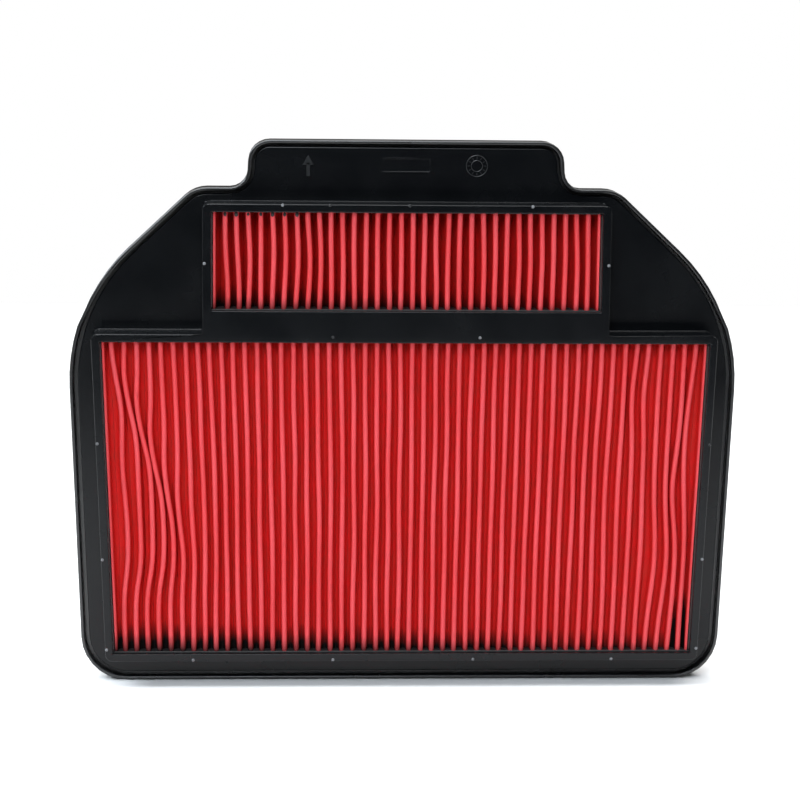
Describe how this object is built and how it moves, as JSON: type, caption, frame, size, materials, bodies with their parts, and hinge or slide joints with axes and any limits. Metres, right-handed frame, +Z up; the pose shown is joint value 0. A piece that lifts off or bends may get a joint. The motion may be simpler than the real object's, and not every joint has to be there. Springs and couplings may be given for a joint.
{
  "type": "motorcycle panel air filter",
  "caption": "Black moulded panel air filter with a tab on top, a rubber rim seal and a T-shaped box that holds red pleated paper behind a small upper and a large lower window.",
  "frame": {"origin": "centre of the footprint, under the rim seal's lower edge", "axes": "+Z up towards the tab, -Y the dirty side that shows the pleats, +Y the clean side with the grille, +X to the right seen from the front"},
  "size_m": [0.23, 0.03, 0.1885],
  "materials": {
    "black_plastic": "smooth moulded black plastic with a soft gloss",
    "black_rubber": "smooth moulded black rubber",
    "red_paper": "oil treated red filter paper with bright fold crests",
    "potting": "cast black sealing compound",
    "side_bond": "dark adhesive strip",
    "hot_melt": "translucent amber hot melt",
    "steel_wire": "galvanised woven wire"
  },
  "bodies": {
    "root": {"front_frame": "black_plastic", "lower_rear_grille": "black_plastic", "upper_rear_grille": "black_plastic", "rim_seal": "black_rubber", "lower_pleat_pack": "red_paper", "upper_pleat_pack": "red_paper", "lower_end_seal_bottom": "potting", "lower_end_seal_top": "potting", "upper_end_seal_bottom": "potting", "upper_end_seal_top": "potting", "lower_side_bond_left": "side_bond", "lower_side_bond_right": "side_bond", "upper_side_bond_left": "side_bond", "upper_side_bond_right": "side_bond", "lower_spacer_bead_1": "hot_melt", "lower_spacer_bead_2": "hot_melt", "lower_spacer_bead_3": "hot_melt", "upper_spacer_bead_1": "hot_melt", "upper_spacer_bead_2": "hot_melt", "lower_wire_screen": "steel_wire", "upper_wire_screen": "steel_wire"}
  },
  "joints": []
}
